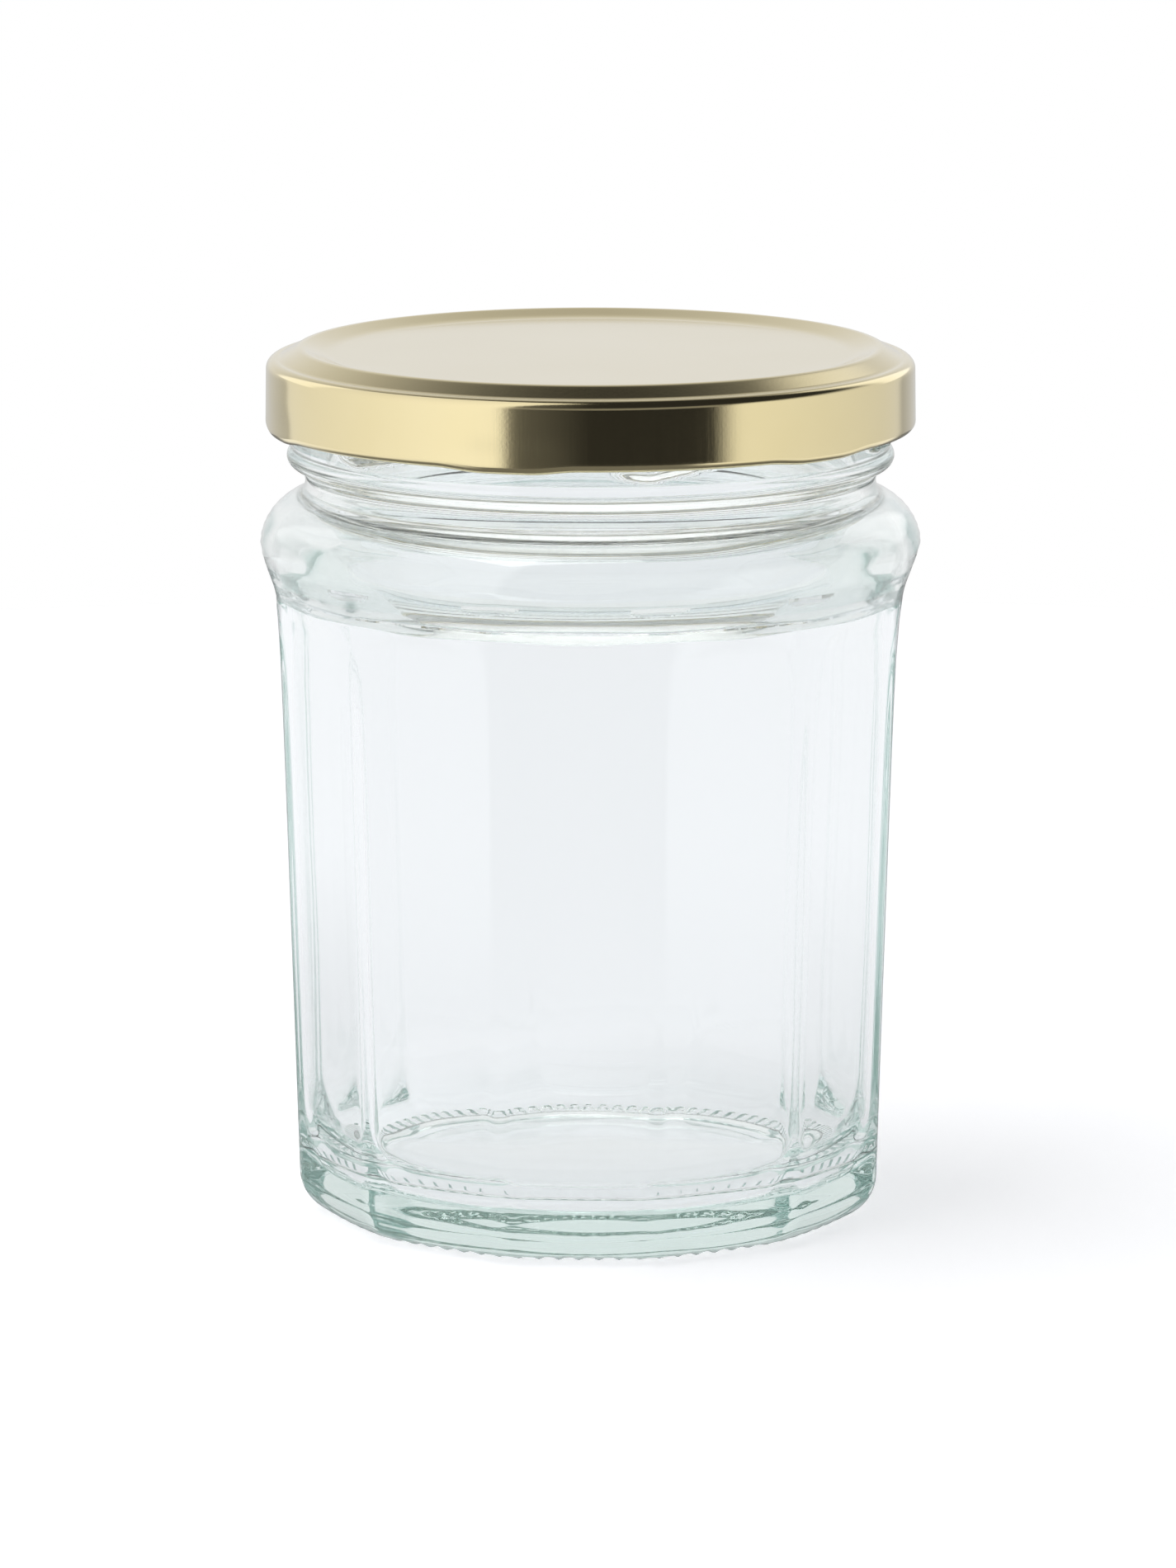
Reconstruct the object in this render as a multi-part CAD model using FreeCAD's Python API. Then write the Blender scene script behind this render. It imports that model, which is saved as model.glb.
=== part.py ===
"""Twelve-sided glass jam jar with its twist-off lid, in millimetres.

The jar stands on z = 0 with its axis on Z. Angles are measured around Z from -Y,
the middle of one flat of the jar, and grow towards +X.
"""
import FreeCAD
import Part
import math
import os
from FreeCAD import Vector

# glass jar: heights
bodyHeight = 82.2        # base to the crease over the flats
shoulderRise = 6.0       # crease to the middle of the shoulder
finishHeight = 12.0      # middle of the neck bead to the rim

# glass jar: radii, outside
finishRadius = 39.2      # neck wall that the lid goes over
beadOut = 0.55           # neck bead over the neck wall
waistIn = 1.84           # waist under the neck wall
shoulderOut = 4.15       # shoulder over the neck wall
facetInset = 3.12        # top of the flats under the shoulder
facetTaper = 2.15        # how far the flats lean in from the crease to the base

# glass jar: roundings
beadRound = 1.3
waistRound = 2.2
shoulderRound = 7.1
edgeRound = 4.0          # between two flats
heelRound = 5.5
rimRoundOut = 0.6
rimRoundIn = 1.1

# glass jar: flats
facetCount = 12
facetFlare = 0.472       # outward lean of the flats over the crease, mm per mm

# glass jar: wall, floor and base
wall = 2.2
rimWall = 3.0
floorHeight = 5.2        # base to the floor, at its foot
floorDome = 0.8          # middle of the floor over its foot
floorRound = 10.0        # wall to floor, inside
bearingWidth = 1.4       # flat ring that the jar stands on
baseStep = 1.0           # step from the bearing ring up to the hollow base
baseDome = 1.2           # middle of the hollow base over the step

# lid: lacquered tinplate
sheet = 0.2
lidHeight = 10.6         # crest to the bottom of the curl
skirtGap = 3.0           # neck wall to the inside of the skirt, room for the threads
skirtWaist = 0.1         # skirt under the curl's radius
crestRise = 1.5          # crest over the shelf
crestRound = 1.5
panelDrop = 1.0          # panel under the crest
panelInset = 3.3         # panel edge inside the crest
shelfWidth = 1.7
cornerRound = 1.3
curlRound = 0.95

# lid: pressed lugs
lugCount = 6
lugPress = 1.1           # how far the skirt is pressed in at a lug
lugRise = 4.5            # height of the pressed flat over the curl's bottom
lugGap = 0.35            # neck wall to the tip of a lug
lugWidth = 14.0
lugThick = 1.0
lugTurn = -12.5          # first lug, degrees from the middle of the front flat

# sealing ring
linerSeat = 0.5          # compound between the rim and the shelf
linerMargin = 0.9        # compound past the rim on each side

# worked out from the sizes above
shoulderRadius = finishRadius + shoulderOut
creaseInside = shoulderRadius - facetInset
footInside = creaseInside - facetTaper
corner = 1 / math.cos(math.pi / facetCount)
tiny = 1.0               # how far cutting tools run past what they cut


def along(centre, radius, target):
    """Point of a circle on the way from its centre to a target."""
    step = target - centre
    return centre + step * (radius / step.Length)


def tangentFrom(point, centre, radius, side):
    """Point where a line from a point touches a circle, on one side of it."""
    toPoint = point - centre
    swing = side * math.acos(radius / toPoint.Length)
    reach = radius / toPoint.Length
    x = toPoint.x * math.cos(swing) - toPoint.z * math.sin(swing)
    z = toPoint.x * math.sin(swing) + toPoint.z * math.cos(swing)
    return centre + Vector(x, 0, z) * reach


def arcAbout(centre, start, end):
    """Short arc of a circle between two of its points."""
    radius = (start - centre).Length
    return Part.Arc(start, along(centre, radius, (start + end) / 2), end).toShape()


def capArc(top, foot):
    """Arc from a point on the axis, square to it there, out to a foot."""
    rise = top.z - foot.z
    radius = (foot.x ** 2 + rise ** 2) / (2 * rise)
    return arcAbout(top - Vector(0, 0, radius), top, foot)


def line(start, end):
    return Part.LineSegment(start, end).toShape()


def turned(edges):
    """Solid made by turning a half outline about the axis."""
    ends = [edges[0].firstVertex().Point, edges[-1].lastVertex().Point]
    foot = Vector(0, 0, ends[0].z)
    top = Vector(0, 0, ends[1].z)
    closing = []
    if ends[1].x > 1e-6:
        closing.append(line(ends[1], top))
    closing.append(line(top, foot))
    if ends[0].x > 1e-6:
        closing.append(line(foot, ends[0]))
    face = Part.Face(Part.Wire(edges + closing))
    return face.revolve(Vector(0, 0, 0), Vector(0, 0, 1), 360)


def around(shape, angle):
    """Copy of a shape made at the front, turned to an angle."""
    copy = shape.copy()
    copy.rotate(Vector(0, 0, 0), Vector(0, 0, 1), angle)
    return copy


# centres of the arcs that shape the neck and the shoulder, each touching the next
shoulderCentre = Vector(shoulderRadius - shoulderRound, 0, bodyHeight + shoulderRise)
waistCentre = Vector(finishRadius - waistIn + waistRound, 0, 0)
waistCentre.z = shoulderCentre.z + math.sqrt(
    (shoulderRound + waistRound) ** 2 - (waistCentre.x - shoulderCentre.x) ** 2)
beadCentre = Vector(finishRadius + beadOut - beadRound, 0, 0)
beadCentre.z = waistCentre.z + math.sqrt(
    (beadRound + waistRound) ** 2 - (waistCentre.x - beadCentre.x) ** 2)
rimHeight = beadCentre.z + finishHeight
mouthRadius = finishRadius - rimWall


def roundOutline():
    """Outside of the jar before the flats, from the base's middle up to the rim."""
    heelRadius = footInside * corner
    heelCentre = Vector(heelRadius - heelRound, 0, heelRound)
    bearingOut = Vector(heelCentre.x, 0, 0)
    bearingIn = Vector(heelCentre.x - bearingWidth, 0, 0)
    step = bearingIn + Vector(-baseStep, 0, baseStep)
    baseTop = Vector(0, 0, baseStep + baseDome)
    heelTop = Vector(heelRadius, 0, heelRound)
    crease = Vector(creaseInside * corner, 0, bodyHeight)
    underShoulder = tangentFrom(crease, shoulderCentre, shoulderRound, 1)
    waistLow = along(shoulderCentre, shoulderRound, waistCentre)
    waistHigh = along(beadCentre, beadRound, waistCentre)
    beadSpan = math.sqrt(beadRound ** 2 - (beadRound - beadOut) ** 2)
    beadTop = beadCentre + Vector(beadRound - beadOut, 0, beadSpan)
    rimSide = Vector(finishRadius, 0, rimHeight - rimRoundOut)
    rimTop = Vector(finishRadius - rimRoundOut, 0, rimHeight)
    rimCentre = Vector(rimTop.x, 0, rimSide.z)
    return [
        capArc(baseTop, step),
        line(step, bearingIn),
        line(bearingIn, bearingOut),
        arcAbout(heelCentre, bearingOut, heelTop),
        line(heelTop, crease),
        line(crease, underShoulder),
        arcAbout(shoulderCentre, underShoulder, waistLow),
        arcAbout(waistCentre, waistLow, waistHigh),
        arcAbout(beadCentre, waistHigh, beadTop),
        line(beadTop, rimSide),
        arcAbout(rimCentre, rimSide, rimTop),
    ]


def cavityOutline():
    """Inside of the jar, from the floor's middle up through the mouth."""
    cornerCentre = Vector(footInside - wall - floorRound, 0, floorHeight + floorRound)
    floorTop = Vector(0, 0, floorHeight + floorDome)
    floorFoot = Vector(cornerCentre.x, 0, floorHeight)
    wallFoot = Vector(cornerCentre.x + floorRound, 0, cornerCentre.z)
    wallTop = Vector(creaseInside - wall, 0, bodyHeight)
    underShoulder = tangentFrom(wallTop, shoulderCentre, shoulderRound - wall, 1)
    waistLow = along(shoulderCentre, shoulderRound - wall, waistCentre)
    neckFoot = Vector(mouthRadius, 0, rimHeight - rimRoundIn)
    waistHigh = tangentFrom(neckFoot, waistCentre, waistRound + wall, 1)
    rimTop = Vector(mouthRadius + rimRoundIn, 0, rimHeight)
    rimCentre = Vector(rimTop.x, 0, neckFoot.z)
    return [
        capArc(floorTop, floorFoot),
        arcAbout(cornerCentre, floorFoot, wallFoot),
        line(wallFoot, wallTop),
        line(wallTop, underShoulder),
        arcAbout(shoulderCentre, underShoulder, waistLow),
        arcAbout(waistCentre, waistLow, waistHigh),
        line(waistHigh, neckFoot),
        arcAbout(rimCentre, neckFoot, rimTop),
        line(rimTop, rimTop + Vector(0, 0, tiny)),
    ]


def facetSection(inside, height):
    """Twelve-sided wire with rounded corners, at a distance from the axis to its flats."""
    centreReach = (inside - edgeRound) * corner
    half = math.pi / facetCount
    wireEdges = []
    for index in range(facetCount):
        angle = 2 * half * (index + 0.5)
        centre = Vector(centreReach * math.sin(angle), -centreReach * math.cos(angle), height)
        points = []
        for turn in (angle - half, angle, angle + half):
            points.append(centre + Vector(math.sin(turn), -math.cos(turn), 0) * edgeRound)
        if wireEdges:
            wireEdges.append(line(wireEdges[-1].lastVertex().Point, points[0]))
        wireEdges.append(Part.Arc(*points).toShape())
    wireEdges.append(line(wireEdges[-1].lastVertex().Point, wireEdges[0].firstVertex().Point))
    return Part.Wire(wireEdges)


def facetBody():
    """Solid bounded by the flats: leaning in below the crease, flaring out above it."""
    bottom = -tiny
    top = rimHeight + tiny
    lean = facetTaper / (bodyHeight - heelRound)
    lower = creaseInside - lean * (bodyHeight - bottom)
    upper = creaseInside + facetFlare * (top - bodyHeight)
    crease = facetSection(creaseInside, bodyHeight)
    body = Part.makeLoft([facetSection(lower, bottom), crease], True, True)
    flare = Part.makeLoft([crease, facetSection(upper, top)], True, True)
    return body.fuse(flare)


def makeJar():
    outside = turned(roundOutline()).common(facetBody())
    return outside.cut(turned(cavityOutline()))


# lid places, from the rim up
skirtRadius = finishRadius + skirtGap + sheet
curlRadius = skirtRadius + skirtWaist
shelfHeight = rimHeight + linerSeat + sheet
crestHeight = shelfHeight + crestRise
panelHeight = crestHeight - panelDrop
crestRadius = finishRadius - rimWall / 2
curlCentre = Vector(curlRadius - curlRound, 0, crestHeight - lidHeight + curlRound)
lidTurns = [lugTurn + 360 / lugCount * index for index in range(lugCount)]


def lidOutline(inset):
    """Skin of the lid from the panel's middle to the curl, moved in by an inset."""
    crestCentre = Vector(crestRadius, 0, crestHeight - crestRound)
    crestReach = crestRound - inset
    panelCorner = Vector(crestRadius - panelInset, 0, panelHeight - inset)
    shelfCorner = Vector(skirtRadius - shelfWidth, 0, shelfHeight - inset)
    crestIn = tangentFrom(panelCorner, crestCentre, crestReach, -1)
    crestOut = tangentFrom(shelfCorner, crestCentre, crestReach, 1)
    cornerCentre = Vector(skirtRadius - cornerRound, 0, shelfHeight - cornerRound)
    cornerTop = cornerCentre + Vector(0, 0, cornerRound - inset)
    cornerSide = cornerCentre + Vector(cornerRound - inset, 0, 0)
    skirtFoot = curlCentre + Vector(curlRound - inset, 0, 0)
    return [
        line(skirtFoot, cornerSide),
        arcAbout(cornerCentre, cornerSide, cornerTop),
        line(cornerTop, shelfCorner),
        line(shelfCorner, crestOut),
        arcAbout(crestCentre, crestOut, crestIn),
        line(crestIn, panelCorner),
        line(panelCorner, Vector(0, 0, panelHeight - inset)),
    ]


def curlTube(inset):
    """Ring as thick as the curl, moved in by an inset."""
    ring = Part.makeTorus(curlCentre.x, curlRound - inset)
    ring.translate(Vector(0, 0, curlCentre.z))
    return ring


def pressTools(inset):
    """Blocks outside the planes that press the skirt flat at the lugs."""
    bottom = crestHeight - lidHeight
    low = curlRadius - lugPress - inset
    high = skirtRadius - inset
    lean = (high - low) / lugRise
    reach = skirtRadius
    outline = [
        Vector(0, -low + lean * tiny, bottom - tiny),
        Vector(0, -high, bottom + lugRise),
        Vector(0, -high - reach, bottom + lugRise),
        Vector(0, -high - reach, bottom - tiny),
    ]
    outline.append(outline[0])
    block = Part.Face(Part.makePolygon(outline)).extrude(Vector(2 * reach, 0, 0))
    block.translate(Vector(-reach, 0, 0))
    return [around(block, turn) for turn in lidTurns]


def lugTongue():
    """Tongue that a pressed lug reaches under a thread with, at the front."""
    low = curlCentre.z - lugThick / 2
    tip = finishRadius + lugGap
    root = curlRadius - lugPress - sheet - curlRound / 2
    nose = lugThick / 2
    outline = [
        line(Vector(root, 0, low), Vector(tip + nose, 0, low)),
        Part.Arc(Vector(tip + nose, 0, low), Vector(tip, 0, low + nose),
                 Vector(tip + nose, 0, low + lugThick)).toShape(),
        line(Vector(tip + nose, 0, low + lugThick), Vector(root, 0, low + lugThick)),
        line(Vector(root, 0, low + lugThick), Vector(root, 0, low)),
    ]
    angle = math.degrees(lugWidth / tip)
    tongue = Part.Face(Part.Wire(outline)).revolve(Vector(0, 0, 0), Vector(0, 0, 1), angle)
    return around(tongue, -90 - angle / 2)


def lidHollow():
    """Space under the lid, inside its sheet."""
    return turned(lidOutline(sheet)).cut(pressTools(sheet))


def makeLid():
    shell = turned(lidOutline(0)).cut(pressTools(0)).cut(lidHollow())
    curl = curlTube(0).cut(pressTools(0))
    core = curlTube(sheet).cut(pressTools(sheet))
    tongues = [around(lugTongue(), turn) for turn in lidTurns]
    return shell.fuse([curl] + tongues).cut(core).removeSplitter()


def makeLiner():
    """Compound that fills the lid over the rim and carries the lid on it."""
    inner = mouthRadius - linerMargin
    outer = finishRadius + linerMargin
    height = crestHeight - rimHeight
    ring = Part.makeCylinder(outer, height, Vector(0, 0, rimHeight))
    ring = ring.cut(Part.makeCylinder(inner, height, Vector(0, 0, rimHeight)))
    return ring.common(lidHollow())


os.makedirs("parts", exist_ok=True)
for name, shape in (("jar", makeJar()), ("lid", makeLid()), ("lid_liner", makeLiner())):
    solid = shape.Solids[0]
    solid.exportStep("parts/" + name + ".step")
    print(name, len(shape.Solids), "solid", solid.isValid(), round(solid.Volume), "mm3",
          "faces", len(solid.Faces))
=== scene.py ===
import bpy
import math
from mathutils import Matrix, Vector, noise


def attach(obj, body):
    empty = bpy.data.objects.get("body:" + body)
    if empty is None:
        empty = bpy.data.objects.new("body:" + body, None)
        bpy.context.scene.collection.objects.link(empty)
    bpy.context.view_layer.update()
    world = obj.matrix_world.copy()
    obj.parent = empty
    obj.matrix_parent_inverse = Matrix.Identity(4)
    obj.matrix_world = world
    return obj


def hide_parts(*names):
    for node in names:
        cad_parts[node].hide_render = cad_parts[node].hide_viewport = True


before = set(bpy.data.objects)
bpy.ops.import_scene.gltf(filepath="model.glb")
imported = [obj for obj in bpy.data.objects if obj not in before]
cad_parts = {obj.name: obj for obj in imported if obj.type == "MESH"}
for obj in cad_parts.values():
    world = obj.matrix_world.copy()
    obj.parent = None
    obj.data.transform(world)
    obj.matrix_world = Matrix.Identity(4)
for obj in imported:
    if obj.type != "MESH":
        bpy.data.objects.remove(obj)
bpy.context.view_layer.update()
print("frame loaded")

mm = 0.001               # sizes below are in millimetres
samePoint = 0.001        # points of one outline nearer than this are joined
sameSeam = 0.002         # and so are the edges where inside and outside meet
onAxis = 0.01            # points nearer the axis than this stay where they are


def toLinear(hexColour):
    # sRGB hex to the linear values that shaders take
    channels = [int(hexColour[i:i + 2], 16) / 255 for i in (1, 3, 5)]
    return [c / 12.92 if c <= 0.04045 else ((c + 0.055) / 1.055) ** 2.4 for c in channels] + [1]


def addNode(tree, kind, settings, links):
    node = tree.nodes.new(kind)
    for name, value in settings.items():
        if isinstance(name, int) or name in node.inputs:
            node.inputs[name].default_value = value
        else:
            setattr(node, name, value)
    for socket, source in links.items():
        tree.links.new(source, node.inputs[socket])
    return node


def maths(tree, operation, first, second=0.0):
    # each term is a number or the socket of another node
    settings, links = {"operation": operation}, {}
    for slot, term in enumerate((first, second)):
        (settings if isinstance(term, (int, float)) else links)[slot] = term
    return addNode(tree, "ShaderNodeMath", settings, links).outputs["Value"]


def ramp(tree, value, start, end, low=0.0, high=1.0, kind="SMOOTHSTEP"):
    # goes from low to high while the value goes from start to end, and is level outside
    node = addNode(tree, "ShaderNodeMapRange",
                   {"interpolation_type": kind, "From Min": start, "From Max": end,
                    "To Min": low, "To Max": high},
                   {"Value": value})
    return node.outputs["Result"]


def mixNumbers(tree, factor, first, second):
    node = addNode(tree, "ShaderNodeMix", {"data_type": "FLOAT"}, {0: factor, 2: first, 3: second})
    return node.outputs[0]


def mixColours(tree, factor, first, second):
    # each colour is a hex value or the socket of another node
    settings, links = {"data_type": "RGBA"}, {"Factor": factor}
    for slot, colour in (("A", first), ("B", second)):
        if isinstance(colour, str):
            settings[slot] = toLinear(colour)
        else:
            links[slot] = colour
    return addNode(tree, "ShaderNodeMix", settings, links).outputs[2]


def clouds(tree, place, size, detail, roughness=0.5):
    # soft noise, with patches of about this size in millimetres
    node = addNode(tree, "ShaderNodeTexNoise",
                   {"Scale": 1 / (size * mm), "Detail": detail, "Roughness": roughness},
                   {"Vector": place})
    return node.outputs["Fac"]


def bumps(tree, relief, height, **under):
    node = addNode(tree, "ShaderNodeBump", {"Strength": 1.0, "Distance": height * mm},
                   {"Height": relief, **under})
    return node.outputs["Normal"]


def newMaterial(name):
    material = bpy.data.materials.new(name)
    material.use_nodes = True
    material.node_tree.nodes.clear()
    return material, material.node_tree


# outlines: points as (distance from the axis, height), in millimetres

def arc(centre, radius, start, end, count):
    points = []
    for step in range(count + 1):
        angle = math.radians(start + (end - start) * step / count)
        points.append((centre[0] + radius * math.cos(angle), centre[1] + radius * math.sin(angle)))
    return points


def onArc(centre, radius, angle):
    return arc(centre, radius, angle, angle, 1)[0]


def run(start, end, longest):
    count = max(1, math.ceil(math.dist(start, end) / longest))
    return [tuple(a + (b - a) * step / count for a, b in zip(start, end))
            for step in range(count + 1)]


def heading(start, end):
    return math.degrees(math.atan2(end[1] - start[1], end[0] - start[0]))


def touchAngle(point, centre, radius, side):
    # direction from a circle's centre to where a line from the point touches it
    turn = math.degrees(math.acos(radius / math.dist(point, centre)))
    return heading(centre, point) + side * turn


def joinPoints(distance):
    bpy.ops.mesh.select_all(action="SELECT")
    bpy.ops.mesh.remove_doubles(threshold=distance * mm)
    bpy.ops.mesh.select_all(action="SELECT")
    bpy.ops.mesh.normals_make_consistent(inside=False)


def lathe(name, outline, steps):
    bpy.ops.object.select_all(action="DESELECT")
    bpy.ops.mesh.primitive_plane_add(size=mm)
    piece = bpy.context.object
    piece.name = name
    bpy.ops.object.mode_set(mode="EDIT")
    bpy.ops.mesh.select_all(action="SELECT")
    bpy.ops.mesh.merge(type="CENTER")
    here = (0.0, 0.0)
    for index, point in enumerate(outline):
        step = ((point[0] - here[0]) * mm, 0, (point[1] - here[1]) * mm)
        if index == 0:
            bpy.ops.transform.translate(value=step)
        else:
            bpy.ops.mesh.extrude_region_move(TRANSFORM_OT_translate={"value": step})
        here = point
    bpy.ops.mesh.select_all(action="SELECT")
    bpy.ops.mesh.spin(steps=steps, angle=math.tau, center=(0, 0, 0), axis=(0, 0, 1))
    joinPoints(samePoint)
    bpy.ops.object.mode_set(mode="OBJECT")
    return piece


def moveVertices(piece, change):
    # change takes and gives (angle from the front in radians, distance from the axis, height)
    for vertex in piece.data.vertices:
        angle = math.atan2(vertex.co.x, -vertex.co.y)
        reach = math.hypot(vertex.co.x, vertex.co.y) / mm
        if reach < onAxis:
            continue
        angle, reach, height = change(angle, reach, vertex.co.z / mm)
        vertex.co = (reach * mm * math.sin(angle), -reach * mm * math.cos(angle), height * mm)


def softLess(first, second, blend):
    # the smaller of two lengths, rounded off where they meet
    near = max(blend - abs(first - second), 0) / blend
    return min(first, second) - near * near * blend / 4


def swell(value, low, high, edge):
    # 1 between low and high, falling smoothly to 0 over an edge outside them
    rise = min(max((value - low + edge) / edge, 0), 1)
    fall = min(max((high + edge - value) / edge, 0), 1)
    return (rise * rise * (3 - 2 * rise)) * (fall * fall * (3 - 2 * fall))


# glass jar
jar = {
    "steps": 420,             # round the axis: a multiple of the flats and of the base's ribs
    "bodyHeight": 82.2, "shoulderRise": 6.0, "finishHeight": 12.0,
    "finishRadius": 39.2, "beadOut": 0.55, "waistIn": 1.84, "shoulderOut": 4.15,
    "facetInset": 3.12, "facetTaper": 2.15, "facetFlare": 0.472, "facetCount": 12,
    "beadRound": 1.3, "waistRound": 2.2, "shoulderRound": 7.1, "edgeRound": 4.0,
    "heelRound": 5.5, "rimRoundOut": 0.6, "rimRoundIn": 1.1,
    "wall": 2.2, "rimWall": 3.0, "floorHeight": 5.2, "floorDome": 0.8, "floorRound": 10.0,
    "bearingWidth": 1.4, "baseStep": 1.0, "baseDome": 1.2,
    # outlines: points on each rounding, and the longest step on each straight run
    "domePoints": 10, "stepPoints": 6, "heelPoints": 16, "shoulderPoints": 28,
    "waistPoints": 14, "beadPoints": 12, "rimPoints": 5,
    "rimInPoints": 6, "shoulderInPoints": 18, "cornerPoints": 12, "floorPoints": 8,
    "bearingRun": 0.35, "bodyRun": 5.0, "creaseRun": 0.6, "flareRun": 0.5, "neckRun": 0.45,
    "neckInRun": 1.5, "flareInRun": 1.0,
    # two points below the crease: share of the wall's lean, and how far below
    "creaseNear": (0.96, 3.0), "creaseClose": (0.97, 2.4),
    # how softly the flats run out: along the body, from the crease up, and in the flare's bend
    "edgeSoft": 0.45, "creaseSoft": 1.6, "softLow": 2.0, "softHigh": 4.0, "softEdge": 4.0,
    "creaseBend": 4.0, "creaseBendIn": 5.0, "flatsEnd": 2.0,
    "ribCount": 84, "ribDepth": 0.6, "ribIn": 34.0, "ribOut": 35.3, "ribEdge": 0.9,
    # threads: angles in degrees, and ahead of its start each curves up by curve x length squared
    "threadCount": 6, "threadOut": 1.7, "threadHalf": 0.7, "threadEdge": 0.9,
    "threadFoot": 103.9, "threadStart": 14.0, "threadSpan": 46.0, "threadRise": 0.2,
    "threadFade": 8.0, "threadCurve": 0.02, "threadEnd": 1.0,
    # inside: how far it follows the flats, and how uneven it is
    "insideFollow": 0.7, "followTop": 1.5, "followLow": 1.0, "followEdge": 6.0, "followFade": 4.0,
    "wave": 0.10, "waveSize": 16.0, "waveStretch": 0.6, "waveRim": 2.0, "waveFloor": 4.0,
}

shoulderRadius = jar["finishRadius"] + jar["shoulderOut"]
creaseInside = shoulderRadius - jar["facetInset"]
footInside = creaseInside - jar["facetTaper"]
corner = 1 / math.cos(math.pi / jar["facetCount"])
heelReach = footInside * corner
crease = (creaseInside * corner, jar["bodyHeight"])
shoulder = (shoulderRadius - jar["shoulderRound"], jar["bodyHeight"] + jar["shoulderRise"])
shoulderUnder = touchAngle(crease, shoulder, jar["shoulderRound"], 1) - 360
shoulderLow = onArc(shoulder, jar["shoulderRound"], shoulderUnder)
waistReach = jar["finishRadius"] - jar["waistIn"] + jar["waistRound"]
waist = (waistReach, shoulder[1] + math.sqrt(
    (jar["shoulderRound"] + jar["waistRound"]) ** 2 - (waistReach - shoulder[0]) ** 2))
beadReach = jar["finishRadius"] + jar["beadOut"] - jar["beadRound"]
bead = (beadReach, waist[1] + math.sqrt(
    (jar["beadRound"] + jar["waistRound"]) ** 2 - (waistReach - beadReach) ** 2))
rimHeight = bead[1] + jar["finishHeight"]
rimMiddle = jar["finishRadius"] - jar["rimRoundOut"]
mouthRadius = jar["finishRadius"] - jar["rimWall"]


def belowCrease(place):
    share, drop = place
    return heelReach + (crease[0] - heelReach) * share, crease[1] - drop


def jarOutsideOutline():
    heel = (heelReach - jar["heelRound"], jar["heelRound"])
    bearingIn = heel[0] - jar["bearingWidth"]
    stepFoot = (bearingIn - jar["baseStep"], jar["baseStep"])
    stepPoints = jar["stepPoints"]
    domeRadius = (stepFoot[0] ** 2 + jar["baseDome"] ** 2) / (2 * jar["baseDome"])
    dome = (0, jar["baseStep"] + jar["baseDome"] - domeRadius)
    up = heading(shoulder, waist)
    over = heading(waist, bead)
    beadSpan = math.degrees(math.acos(1 - jar["beadOut"] / jar["beadRound"]))
    beadTop = bead[1] + jar["beadRound"] * math.sin(math.radians(beadSpan))
    rimFoot = rimHeight - jar["rimRoundOut"]
    return (
        arc(dome, domeRadius, 90, heading(dome, stepFoot), jar["domePoints"])
        + [(stepFoot[0] + jar["baseStep"] * point / stepPoints,
            jar["baseStep"] * swell(point, 0, 0, stepPoints))
           for point in range(1, stepPoints + 1)]
        + run((bearingIn, 0), (heel[0], 0), jar["bearingRun"])[1:]
        + arc(heel, jar["heelRound"], -90, 0, jar["heelPoints"])[1:]
        + run((heelReach, heel[1]), belowCrease(jar["creaseNear"]), jar["bodyRun"])[1:]
        + run(belowCrease(jar["creaseClose"]), crease, jar["creaseRun"])
        + run(crease, shoulderLow, jar["flareRun"])[1:]
        + arc(shoulder, jar["shoulderRound"], shoulderUnder, up, jar["shoulderPoints"])[1:]
        + arc(waist, jar["waistRound"], up + 180, over, jar["waistPoints"])[1:]
        + arc(bead, jar["beadRound"], over - 180, beadSpan, jar["beadPoints"])[1:]
        + run((jar["finishRadius"], beadTop), (jar["finishRadius"], rimFoot), jar["neckRun"])[1:]
        + arc((rimMiddle, rimFoot), jar["rimRoundOut"], 0, 90, jar["rimPoints"])[1:]
    )


def jarInsideOutline():
    bend = (footInside - jar["wall"] - jar["floorRound"], jar["floorHeight"] + jar["floorRound"])
    domeRadius = (bend[0] ** 2 + jar["floorDome"] ** 2) / (2 * jar["floorDome"])
    dome = (0, jar["floorHeight"] + jar["floorDome"] - domeRadius)
    wallTop = (creaseInside - jar["wall"], jar["bodyHeight"])
    inner = jar["shoulderRound"] - jar["wall"]
    under = touchAngle(wallTop, shoulder, inner, 1) - 360
    up = heading(shoulder, waist)
    neckFoot = (mouthRadius, rimHeight - jar["rimRoundIn"])
    waistInner = jar["waistRound"] + jar["wall"]
    over = touchAngle(neckFoot, waist, waistInner, 1)
    rimCentre = (mouthRadius + jar["rimRoundIn"], neckFoot[1])
    floorEdge = heading(dome, (bend[0], jar["floorHeight"]))
    return (
        [(rimMiddle, rimHeight)]
        + arc(rimCentre, jar["rimRoundIn"], 90, 180, jar["rimInPoints"])
        + run(neckFoot, onArc(waist, waistInner, over), jar["neckInRun"])[1:]
        + arc(waist, waistInner, over, up + 180, jar["waistPoints"])[1:]
        + arc(shoulder, inner, up, under, jar["shoulderInPoints"])[1:]
        + run(onArc(shoulder, inner, under), wallTop, jar["flareInRun"])[1:]
        + run(wallTop, (bend[0] + jar["floorRound"], bend[1]), jar["bodyRun"])[1:]
        + arc(bend, jar["floorRound"], 0, -90, jar["cornerPoints"])[1:]
        + arc(dome, domeRadius, floorEdge, 90, jar["floorPoints"])[1:]
    )


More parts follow.
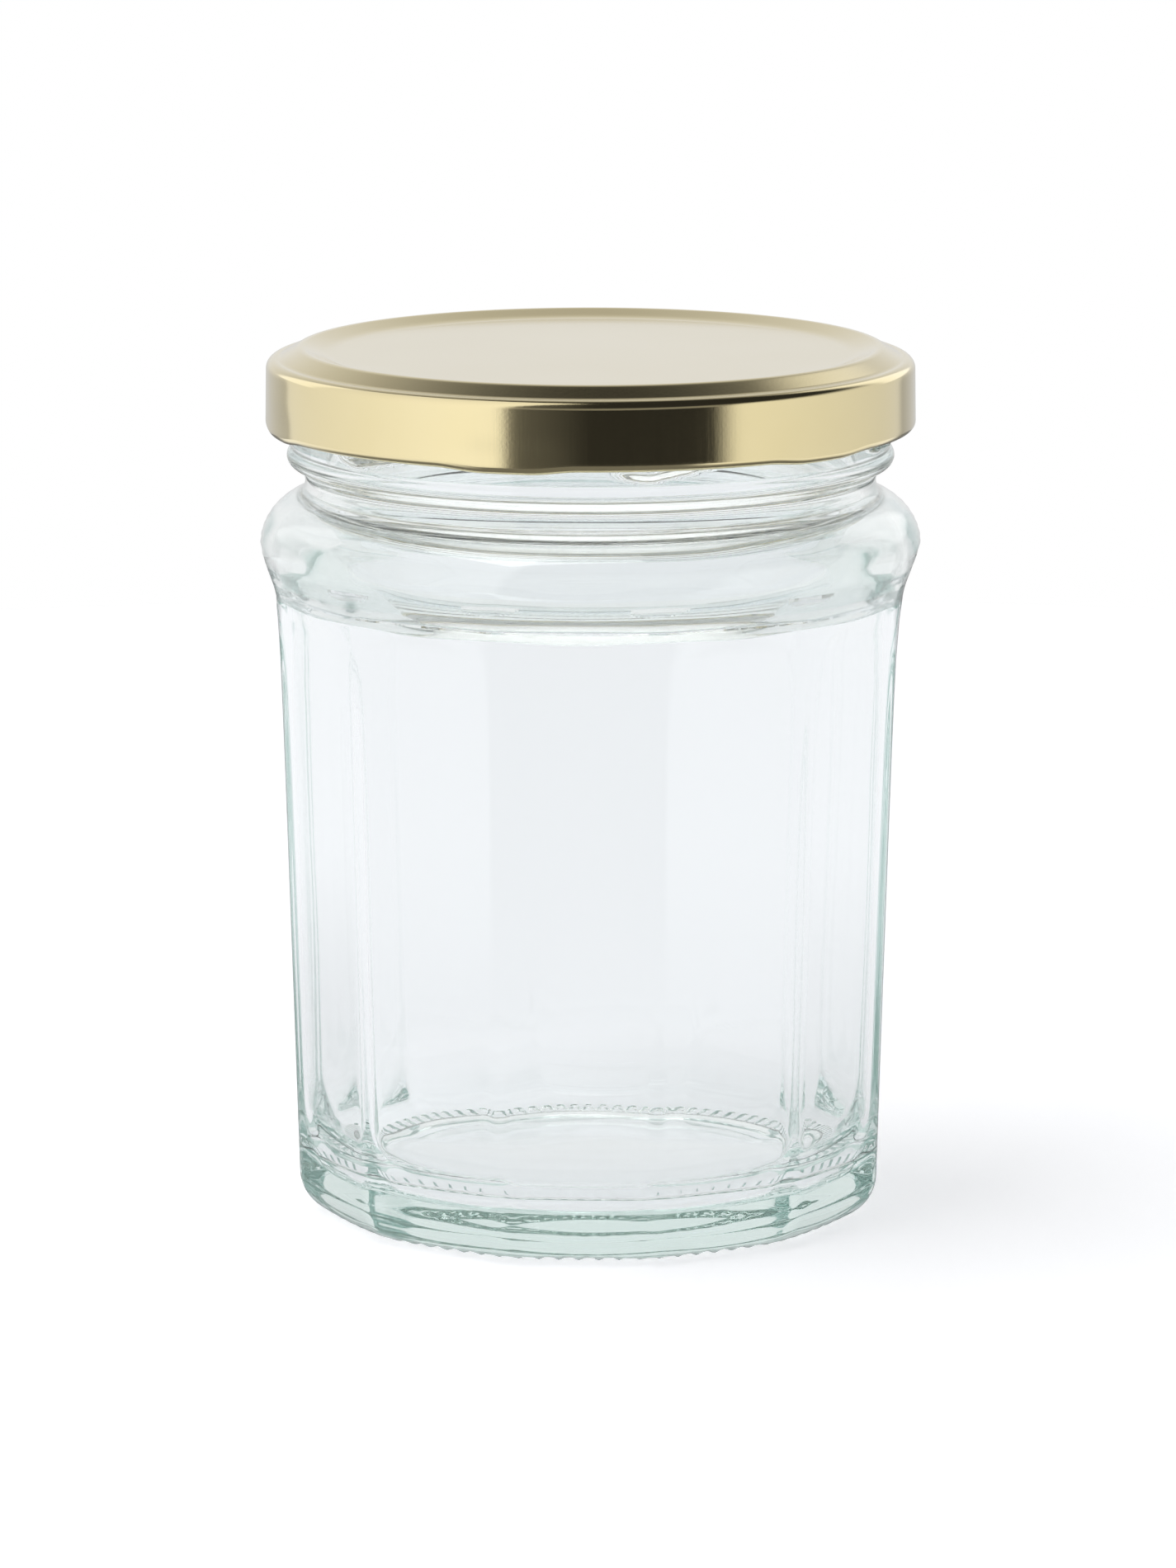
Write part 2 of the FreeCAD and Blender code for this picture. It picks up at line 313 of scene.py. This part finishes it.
def flatReach(angle, height, bend):
    # distance from the axis to the twelve flats, rounded between them
    above = height - jar["bodyHeight"]
    lean = jar["facetTaper"] / (jar["bodyHeight"] - jar["heelRound"])
    flare = jar["facetFlare"] - lean
    inside = creaseInside + lean * above + flare * (above + math.hypot(above, bend)) / 2
    half = math.pi / jar["facetCount"]
    off = abs((angle + half) % (2 * half) - half)
    centre = (inside - jar["edgeRound"]) * corner
    if math.tan(off) * inside < centre * math.sin(half):
        return inside / math.cos(off)
    across = centre * math.sin(half - off)
    return centre * math.cos(half - off) + math.sqrt(jar["edgeRound"] ** 2 - across ** 2)


def threadOut(angle, height):
    out = 0
    fade = jar["threadFade"]
    for index in range(jar["threadCount"]):
        start = math.radians(jar["threadStart"] + 360 / jar["threadCount"] * index)
        past = math.degrees((angle - start + math.pi) % math.tau - math.pi)
        if -fade < past < jar["threadSpan"] + fade:
            along = math.radians(past) * jar["finishRadius"]
            middle = (jar["threadFoot"] + max(along, 0) * jar["threadRise"]
                      + jar["threadCurve"] * min(along, 0) ** 2)
            share = swell(past, 0, jar["threadSpan"], fade)
            out = max(out, share * swell(height, middle - jar["threadHalf"],
                                         middle + jar["threadHalf"], jar["threadEdge"]))
    return out * jar["threadOut"]


def roundReach(height):
    # distance from the axis to the shoulder before the flats
    if height < crease[1]:
        return crease[0]
    if height < shoulderLow[1]:
        return (crease[0] + (shoulderLow[0] - crease[0]) * (height - crease[1])
                / (shoulderLow[1] - crease[1]))
    return shoulder[0] + math.sqrt(max(jar["shoulderRound"] ** 2 - (height - shoulder[1]) ** 2, 0))


def softness(height):
    rise = swell(height, jar["bodyHeight"] + jar["softLow"], jar["bodyHeight"] + jar["softHigh"],
                 jar["softEdge"])
    return jar["edgeSoft"] + (jar["creaseSoft"] - jar["edgeSoft"]) * rise


def shapeOutside(angle, reach, height):
    heelIn = heelReach - jar["heelRound"]
    flats = flatReach(angle, height, jar["creaseBend"])
    if height >= jar["heelRound"]:
        if height < bead[1] - jar["flatsEnd"]:
            reach = softLess(reach, flats, softness(height))
    elif reach > heelIn:
        # the heel rounds each flat down to the round bearing ring
        full = softLess(heelReach, flats, softness(height))
        reach = heelIn + (full - heelIn) * (reach - heelIn) / jar["heelRound"]
    rib = 0.5 - 0.5 * math.cos(jar["ribCount"] * angle)
    if height < jar["baseStep"] * 2:
        height += jar["ribDepth"] * rib * swell(reach, jar["ribIn"], jar["ribOut"], jar["ribEdge"])
    if bead[1] < height < rimHeight - jar["threadEnd"]:
        reach += threadOut(angle, height)
    return angle, reach, height


def shapeInside(angle, reach, height):
    # the blown inside follows the flats, most of all under the shoulder, and is slightly uneven
    top = shoulder[1] - jar["followTop"]
    cornerTop = jar["floorHeight"] + jar["floorRound"]
    if height < top + jar["followFade"]:
        level = max(height, jar["heelRound"])
        outside = softLess(roundReach(level), flatReach(angle, level, jar["creaseBendIn"]),
                           softness(level))
        plain = footInside - jar["wall"] if height < cornerTop else reach
        follow = jar["insideFollow"] * swell(reach, plain, shoulderRadius, jar["floorRound"])
        follow += (1 - follow) * swell(height, jar["bodyHeight"] - jar["followLow"], top,
                                       jar["followEdge"])
        follow *= swell(height, 0, top, jar["followFade"])
        reach *= 1 + follow * ((outside - jar["wall"]) / plain - 1)
    spot = Vector((math.sin(angle) * reach, math.cos(angle) * reach, height * jar["waveStretch"]))
    unevenness = jar["wave"] * noise.noise(spot / jar["waveSize"])
    if height < rimHeight - jar["waveRim"]:
        if height > jar["floorHeight"] + jar["waveFloor"]:
            reach += unevenness
        else:
            height += unevenness
    return angle, reach, height


def makeJar():
    outside = lathe("jar_glass", jarOutsideOutline(), jar["steps"])
    moveVertices(outside, shapeOutside)
    inside = lathe("jar_inside", jarInsideOutline(), jar["steps"])
    moveVertices(inside, shapeInside)
    bpy.ops.object.select_all(action="DESELECT")
    inside.select_set(True)
    outside.select_set(True)
    bpy.context.view_layer.objects.active = outside
    bpy.ops.object.join()
    bpy.ops.object.mode_set(mode="EDIT")
    joinPoints(sameSeam)
    bpy.ops.object.mode_set(mode="OBJECT")
    bpy.ops.object.shade_smooth()
    return outside


jarPiece = makeJar()
print("jar", len(jarPiece.data.vertices), "vertices")

# lid of lacquered tinplate
lid = {
    "steps": 360,
    "sheet": 0.2, "lidHeight": 10.6, "skirtGap": 3.0, "skirtWaist": 0.1, "linerSeat": 0.5,
    "crestRise": 1.5, "crestRound": 1.5, "panelDrop": 1.0, "panelInset": 3.3,
    "shelfWidth": 1.7, "cornerRound": 1.3, "curlRound": 0.95, "curlTurn": 262,
    # the panel's edge: how far inside it the flat ends, then the bend from (inwards, up)
    # to (outwards, up)
    "panelFlat": 0.8, "bendStart": (0.4, 0.02), "bendEnd": (0.3, 0.12),
    # outline: points on each rounding, and the longest step on each straight run
    "crestPoints": 16, "cornerPoints": 12, "curlPoints": 26,
    "panelRun": 4.0, "bendRun": 0.3, "flankRun": 0.5, "fallRun": 0.4, "skirtRun": 0.45,
    # lugs: angles in degrees
    "lugCount": 6, "lugTurn": -12.5, "lugPress": 0.1, "lugRise": 3.4,
    "lugHalf": 4.0, "lugEdge": 9.0, "lugDip": 0.45, "tongue": 1.1,
}
skirtRadius = jar["finishRadius"] + lid["skirtGap"] + lid["sheet"]
curlRadius = skirtRadius + lid["skirtWaist"]
shelfHeight = rimHeight + lid["linerSeat"] + lid["sheet"]
crestHeight = shelfHeight + lid["crestRise"]
panelHeight = crestHeight - lid["panelDrop"]
crestRadius = jar["finishRadius"] - jar["rimWall"] / 2
curl = (curlRadius - lid["curlRound"], crestHeight - lid["lidHeight"] + lid["curlRound"])


def lidOutline():
    crest = (crestRadius, crestHeight - lid["crestRound"])
    edge = crestRadius - lid["panelInset"]
    bendIn, bendUp = lid["bendStart"]
    bendOut, bendTop = lid["bendEnd"]
    shelfCorner = (skirtRadius - lid["shelfWidth"], shelfHeight)
    inward = touchAngle((edge, panelHeight), crest, lid["crestRound"], -1)
    outward = touchAngle(shelfCorner, crest, lid["crestRound"], 1)
    inPoint = onArc(crest, lid["crestRound"], inward)
    outPoint = onArc(crest, lid["crestRound"], outward)
    cornerCentre = (skirtRadius - lid["cornerRound"], shelfHeight - lid["cornerRound"])
    return (
        run((0, panelHeight), (edge - lid["panelFlat"], panelHeight), lid["panelRun"])
        + run((edge - bendIn, panelHeight + bendUp), (edge + bendOut, panelHeight + bendTop),
              lid["bendRun"])
        # the bend stands in for the flank's first two points
        + run((edge, panelHeight), inPoint, lid["flankRun"])[2:]
        + arc(crest, lid["crestRound"], inward, outward, lid["crestPoints"])[1:]
        + run(outPoint, shelfCorner, lid["fallRun"])[1:]
        + run(shelfCorner, (cornerCentre[0], shelfHeight), lid["bendRun"])[1:]
        + arc(cornerCentre, lid["cornerRound"], 90, 0, lid["cornerPoints"])[1:]
        + run((skirtRadius, cornerCentre[1]), (curlRadius, curl[1]), lid["skirtRun"])[1:]
        + arc(curl, lid["curlRound"], 0, -lid["curlTurn"], lid["curlPoints"])[1:]
    )


def pressLugs(angle, reach, height):
    # at each lug the curl is bent inwards to a tongue and takes the foot of the skirt with it
    bottom = crestHeight - lid["lidHeight"]
    up = swell(height, 0, bottom + 2 * lid["curlRound"], lid["lugRise"])
    for index in range(lid["lugCount"]):
        turn = lid["lugTurn"] + 360 / lid["lugCount"] * index
        off = (math.degrees(angle) - turn + 180) % 360 - 180
        lug = up * swell(off, -lid["lugHalf"], lid["lugHalf"], lid["lugEdge"])
        inner = min(max((curl[0] - reach) / lid["curlRound"], 0), 1)
        reach -= lug * (lid["lugPress"] + lid["tongue"] * inner)
        height -= lug * lid["lugDip"]
    return angle, reach, height


def makeLid():
    piece = lathe("lid_tinplate", lidOutline(), lid["steps"])
    moveVertices(piece, pressLugs)
    # one slot for the gold outside, one for the white inside
    bpy.ops.object.material_slot_add()
    bpy.ops.object.material_slot_add()
    thickness = piece.modifiers.new("sheet", "SOLIDIFY")
    thickness.thickness = lid["sheet"] * mm
    thickness.offset = -1
    thickness.material_offset = 1
    bpy.ops.object.modifier_apply(modifier=thickness.name)
    bpy.ops.object.shade_smooth()
    return piece


lidPiece = makeLid()
print("lid", len(lidPiece.data.vertices), "vertices")

# glass: soda-lime container glass, blown in a mould and fire-polished,
# so it is clear and glossy, a little wavy, and sea green where light runs far inside it
glass = {
    "colour": "#fbfcfc", "roughness": 0.0, "ior": 1.52, "tint": "#92cdc2", "tintDensity": 5.4,
    "waveSize": 14.0, "waveHeight": 0.010, "waveDetail": 2.0, "waveRough": 0.4,
}


def makeGlass():
    material, tree = newMaterial("soda-lime glass")
    place = addNode(tree, "ShaderNodeTexCoord", {}, {}).outputs["Object"]
    waves = clouds(tree, place, glass["waveSize"], glass["waveDetail"], glass["waveRough"])
    shader = addNode(tree, "ShaderNodeBsdfPrincipled",
                     {"Base Color": toLinear(glass["colour"]), "Roughness": glass["roughness"],
                      "IOR": glass["ior"], "Transmission Weight": 1.0},
                     {"Normal": bumps(tree, waves, glass["waveHeight"])})
    inside = addNode(tree, "ShaderNodeVolumeAbsorption",
                     {"Color": toLinear(glass["tint"]), "Density": glass["tintDensity"]}, {})
    addNode(tree, "ShaderNodeOutputMaterial", {},
            {"Surface": shader.outputs["BSDF"], "Volume": inside.outputs["Volume"]})
    return material


# lid: electrolytic tinplate under gold lacquer, rolled and then pressed,
# so it mirrors like pale gold, softened by upright grain and the lacquer's fine peel
tinplate = {
    "gold": "#dfd2aa", "goldDeep": "#d6c796", "patch": 22.0, "patchDetail": 3.0,
    "roughness": 0.13, "roughSpread": 0.05,
    "lacquer": 0.5, "lacquerRoughness": 0.1, "lacquerIor": 1.5,
    "grain": 0.22, "grainLength": 14.0, "grainHeight": 0.0012,
    "grainDetail": 3.0, "grainRough": 0.6,
    "peel": 0.45, "peelHeight": 0.003, "peelDetail": 2.0,
}


def makeTinplate():
    material, tree = newMaterial("gold-lacquered tinplate")
    place = addNode(tree, "ShaderNodeTexCoord", {}, {}).outputs["Object"]
    parts = addNode(tree, "ShaderNodeSeparateXYZ", {}, {0: place}).outputs
    # grain runs down the skirt: fine steps round the axis, long ones up it
    turn = maths(tree, "ARCTAN2", parts["X"], parts["Y"])
    around = maths(tree, "MULTIPLY", turn, skirtRadius / tinplate["grain"])
    upward = maths(tree, "MULTIPLY", parts["Z"], 1 / (tinplate["grainLength"] * mm))
    skirtPlace = addNode(tree, "ShaderNodeCombineXYZ", {}, {"X": around, "Z": upward})
    grain = addNode(tree, "ShaderNodeTexNoise",
                    {"Scale": 1.0, "Detail": tinplate["grainDetail"],
                     "Roughness": tinplate["grainRough"]},
                    {"Vector": skirtPlace.outputs["Vector"]}).outputs["Fac"]
    patches = clouds(tree, place, tinplate["patch"], tinplate["patchDetail"])
    peel = clouds(tree, place, tinplate["peel"], tinplate["peelDetail"])
    relief = bumps(tree, grain, tinplate["grainHeight"])
    relief = bumps(tree, peel, tinplate["peelHeight"], Normal=relief)
    rough = ramp(tree, grain, 0.0, 1.0, tinplate["roughness"] - tinplate["roughSpread"],
                 tinplate["roughness"] + tinplate["roughSpread"], "LINEAR")
    shader = addNode(tree, "ShaderNodeBsdfPrincipled",
                     {"Metallic": 1.0, "Coat Weight": tinplate["lacquer"],
                      "Coat Roughness": tinplate["lacquerRoughness"],
                      "Coat IOR": tinplate["lacquerIor"]},
                     {"Base Color": mixColours(tree, patches, tinplate["gold"],
                                               tinplate["goldDeep"]),
                      "Roughness": rough, "Normal": relief})
    addNode(tree, "ShaderNodeOutputMaterial", {}, {"Surface": shader.outputs["BSDF"]})
    return material


def makePlain(name, look):
    # one dull colour that drifts to a second, with a relief of the same pattern
    material, tree = newMaterial(name)
    place = addNode(tree, "ShaderNodeTexCoord", {}, {}).outputs["Object"]
    drift = clouds(tree, place, look["patch"], look["detail"])
    shader = addNode(tree, "ShaderNodeBsdfPrincipled", {"Roughness": look["roughness"]},
                     {"Base Color": mixColours(tree, drift, look["colour"], look["second"]),
                      "Normal": bumps(tree, drift, look["relief"])})
    addNode(tree, "ShaderNodeOutputMaterial", {}, {"Surface": shader.outputs["BSDF"]})
    return material


# inside of the lid: white can enamel, rolled on and baked, a satin warm white
enamel = {
    "colour": "#efeeea", "second": "#f7f6f3", "roughness": 0.4,
    "patch": 3.0, "detail": 3.0, "relief": 0.004,
}

# sealing ring: plastisol compound flowed into the lid, a dull cream with soft runs
plastisol = {
    "colour": "#e6e1d4", "second": "#d2ccbc", "roughness": 0.55,
    "patch": 5.0, "detail": 4.0, "relief": 0.03,
}

jarPiece.data.materials.append(makeGlass())
lidPiece.material_slots[0].material = makeTinplate()
lidPiece.material_slots[1].material = makePlain("white can enamel", enamel)
sealing = makePlain("plastisol sealing compound", plastisol)
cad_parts["lid_liner"].material_slots[0].material = sealing
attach(jarPiece, "root")
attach(lidPiece, "root")
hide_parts("jar")
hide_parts("lid")
print("materials on")

# studio: white floor and surroundings, bright from both sides and behind, dark overhead,
# and dark in front but for a faint band. Low, High, Near and Far are sines of directions
# except on the floor, where they are millimetres
studio = {
    "floorSize": 480.0, "floorPoints": 96, "floorRoughness": 0.9,
    # the mirrored and under-glass floor colours are painted shade: darker copies of the floor for
    # the lid's reflections and the view through glass
    "floorColour": "#dfdfe1", "floorMirrorShade": "#8c8c8c", "floorShadeThroughGlass": "#a6a6aa",
    "floorLight": "#fcfdff", "floorGlow": 0.5, "floorThroughGlass": 0.65, "floorLift": 6.0,
    "floorMirrorGlow": 0.95, "floorNear": 120.0, "floorFar": 260.0,
    "middle": 9.0,            # degrees that the dark front lies to the right of the lens
    "straightUp": 1.001,      # a little over 1, so that a division stays finite overhead
    "leftLow": 0.545, "leftHigh": 0.64, "leftBright": 1.32, "leftGlow": 0.13,
    "rightLow": 0.58, "rightHigh": 0.74, "rightBright": 1.12, "rightTop": 0.3, "rightEnd": 0.6,
    "leftBehind": 0.74, "rightBehind": 0.72, "behindLow": -0.6, "behindHigh": 0.8,
    "backLow": 0.25, "backHigh": 1.0, "backBright": 0.85,
    "backUnder": 0.72, "underLow": -0.2, "underHigh": 0.1,
    "dim": 0.03, "bandLow": 0.12, "bandHigh": 0.26, "bandTop": 0.4, "bandEnd": 0.6,
    "bandGlow": 0.3,
    "endLow": 0.3, "endHigh": 0.5, "endBright": 1.35,
    "endFoot": 0.0, "endRise": 0.15, "endNear": 0.3, "endFar": 0.6,
    "glassDim": 0.92, "glassBright": 0.98, "throughLift": 1.2,
}


def makeFloor():
    bpy.ops.object.select_all(action="DESELECT")
    bpy.ops.mesh.primitive_circle_add(vertices=studio["floorPoints"],
                                      radius=studio["floorSize"] * mm, fill_type="NGON",
                                      location=(0, 0, 0))
    floor = bpy.context.object
    floor.name = "studio_floor"
    material, tree = newMaterial("painted studio floor")
    rays = addNode(tree, "ShaderNodeLightPath", {}, {}).outputs
    inMirror, inGlass = rays["Is Glossy Ray"], rays["Is Transmission Ray"]
    # it glows faintly to the lens, and more strongly to what it lights through the glass
    direct = maths(tree, "MULTIPLY", rays["Is Camera Ray"], studio["floorGlow"])
    lifted = ramp(tree, rays["Diffuse Depth"], 0.0, 1.0, studio["floorThroughGlass"],
                  studio["floorThroughGlass"] * studio["floorLift"], "LINEAR")
    glow = mixNumbers(tree, inGlass, direct, lifted)
    # painted shade: in the lid's metal and through the glass the floor takes a darker colour than
    # to the lens
    colour = mixColours(tree, inMirror, studio["floorColour"], studio["floorMirrorShade"])
    colour = mixColours(tree, inGlass, colour, studio["floorShadeThroughGlass"])
    # painted light: in mirror images the floor glows to the left and right, and stays dark in
    # front and near the jar
    place = addNode(tree, "ShaderNodeTexCoord", {}, {}).outputs["Object"]
    away = addNode(tree, "ShaderNodeVectorMath", {"operation": "NORMALIZE"}, {0: place})
    parts = addNode(tree, "ShaderNodeSeparateXYZ", {}, {0: away.outputs["Vector"]}).outputs
    distance = addNode(tree, "ShaderNodeVectorMath", {"operation": "LENGTH"}, {0: place})
    mirrored = ramp(tree, maths(tree, "ABSOLUTE", parts["X"]), studio["leftLow"],
                    studio["rightHigh"], 0.0, studio["floorMirrorGlow"])
    for share in (
        ramp(tree, distance.outputs["Value"], studio["floorNear"] * mm, studio["floorFar"] * mm),
        inMirror,
        maths(tree, "SUBTRACT", 1.0, inGlass),
    ):
        mirrored = maths(tree, "MULTIPLY", mirrored, share)
    shader = addNode(tree, "ShaderNodeBsdfPrincipled",
                     {"Roughness": studio["floorRoughness"],
                      "Emission Color": toLinear(studio["floorLight"])},
                     {"Base Color": colour,
                      "Emission Strength": maths(tree, "ADD", glow, mirrored)})
    addNode(tree, "ShaderNodeOutputMaterial", {}, {"Surface": shader.outputs["BSDF"]})
    floor.data.materials.append(material)


def makeWorld():
    world = bpy.data.worlds.new("studio")
    bpy.context.scene.world = world
    world.use_nodes = True
    tree = world.node_tree
    tree.nodes.clear()
    place = addNode(tree, "ShaderNodeTexCoord", {}, {})
    turned = addNode(tree, "ShaderNodeVectorRotate",
                     {"rotation_type": "Z_AXIS", "Angle": math.radians(-studio["middle"])},
                     {"Vector": place.outputs["Generated"]})
    parts = addNode(tree, "ShaderNodeSeparateXYZ", {}, {0: turned.outputs["Vector"]}).outputs
    across, depth, upward = parts["X"], parts["Y"], parts["Z"]

    def side(direction, start, end, bright, behind):
        # bright from a direction on, and less so further back
        return maths(tree, "MULTIPLY", ramp(tree, direction, start, end, 0.0, bright),
                     ramp(tree, depth, studio["behindLow"], studio["behindHigh"], 1.0, behind,
                          "LINEAR"))

    # the left side is bright up to overhead, with a glow beside it, the right side only low down
    level = maths(tree, "SUBTRACT", studio["straightUp"], maths(tree, "MULTIPLY", upward, upward))
    leftward = maths(tree, "DIVIDE", maths(tree, "MULTIPLY", across, -1.0),
                     maths(tree, "SQRT", level))
    left = side(leftward, studio["leftLow"], studio["leftHigh"], studio["leftBright"],
                studio["leftBehind"])
    leftGlow = ramp(tree, leftward, 0.0, studio["leftLow"], 0.0, studio["leftGlow"], "LINEAR")
    right = side(across, studio["rightLow"], studio["rightHigh"], studio["rightBright"],
                 studio["rightBehind"])
    right = maths(tree, "MULTIPLY", right,
                  ramp(tree, upward, studio["rightTop"], studio["rightEnd"], 1.0, 0.0))
    back = maths(tree, "MULTIPLY",
                 ramp(tree, depth, studio["backLow"], studio["backHigh"], 0.0,
                      studio["backBright"]),
                 ramp(tree, upward, studio["underLow"], studio["underHigh"],
                      studio["backUnder"], 1.0, "LINEAR"))
    # a faint band low all round keeps the lid from looking black from behind
    band = maths(tree, "MULTIPLY",
                 ramp(tree, upward, studio["bandLow"], studio["bandHigh"], 0.0,
                      studio["bandGlow"]),
                 ramp(tree, upward, studio["bandTop"], studio["bandEnd"], 1.0, 0.0))
    # two low panels behind, left and right, catch the lid's far corners
    ends = ramp(tree, maths(tree, "ABSOLUTE", across), studio["endLow"], studio["endHigh"], 0.0,
                studio["endBright"])
    ends = maths(tree, "MULTIPLY", ends,
                 ramp(tree, upward, studio["endFoot"], studio["endRise"]))
    ends = maths(tree, "MULTIPLY", ends, ramp(tree, depth, studio["endNear"], studio["endFar"]))
    lit = studio["dim"]
    for part in (right, left, leftGlow, back, band, ends):
        lit = maths(tree, "MAXIMUM", part, lit)
    # what shows through glass stays light all round,
    # and what it lets through onto the lid's inside and the floor is lit more strongly
    rays = addNode(tree, "ShaderNodeLightPath", {}, {}).outputs
    through = maths(tree, "MULTIPLY",
                    ramp(tree, lit, 0.0, 1.0, studio["glassDim"], studio["glassBright"],
                         "LINEAR"),
                    ramp(tree, rays["Diffuse Depth"], 0.0, 1.0, 1.0, studio["throughLift"],
                         "LINEAR"))
    strength = mixNumbers(tree, rays["Is Transmission Ray"], lit, through)
    sky = addNode(tree, "ShaderNodeBackground", {"Color": (1, 1, 1, 1)},
                  {"Strength": maths(tree, "MAXIMUM", strength, rays["Is Camera Ray"])})
    addNode(tree, "ShaderNodeOutputWorld", {}, {"Surface": sky.outputs["Background"]})


# softbox above, in metres and watts
softbox = {"place": (-0.25, -0.1, 1.4), "aim": (0, 0, 0.05), "size": 0.9, "power": 6.0}


def makeSoftbox():
    light = bpy.data.lights.new("top_softbox", "AREA")
    light.shape = "RECTANGLE"
    light.size = light.size_y = softbox["size"]
    light.energy = softbox["power"]
    lamp = bpy.data.objects.new("top_softbox", light)
    bpy.context.collection.objects.link(lamp)
    lamp.location = softbox["place"]
    towards = Vector(softbox["aim"]) - Vector(softbox["place"])
    lamp.rotation_euler = towards.to_track_quat("-Z", "Y").to_euler()
    lamp.visible_glossy = False


# camera: a long lens a metre off, looking a little down
view = {
    "distance": 1000.0, "height": 249.1, "turn": 2.5, "pitch": 10.93, "aside": -0.34,
    "lens": 177.1, "sensor": 36,
}


def makeCamera():
    data = bpy.data.cameras.new("camera")
    data.lens = view["lens"]
    data.sensor_width = view["sensor"]
    camera = bpy.data.objects.new("camera", data)
    bpy.context.collection.objects.link(camera)
    turn = math.radians(view["turn"])
    camera.location = (
        (math.sin(turn) * view["distance"] + math.cos(turn) * view["aside"]) * mm,
        (-math.cos(turn) * view["distance"] + math.sin(turn) * view["aside"]) * mm,
        view["height"] * mm)
    camera.rotation_euler = (math.radians(90 - view["pitch"]), 0, turn)
    bpy.context.scene.camera = camera


# light runs round inside thick glass many times before it leaves
bpy.context.scene.cycles.max_bounces = 128
bpy.context.scene.cycles.glossy_bounces = 128
bpy.context.scene.cycles.transmission_bounces = 128
bpy.context.scene.cycles.diffuse_bounces = 8

makeFloor()
makeWorld()
makeSoftbox()
makeCamera()
bpy.context.scene.view_settings.view_transform = "Standard"
print("studio set")
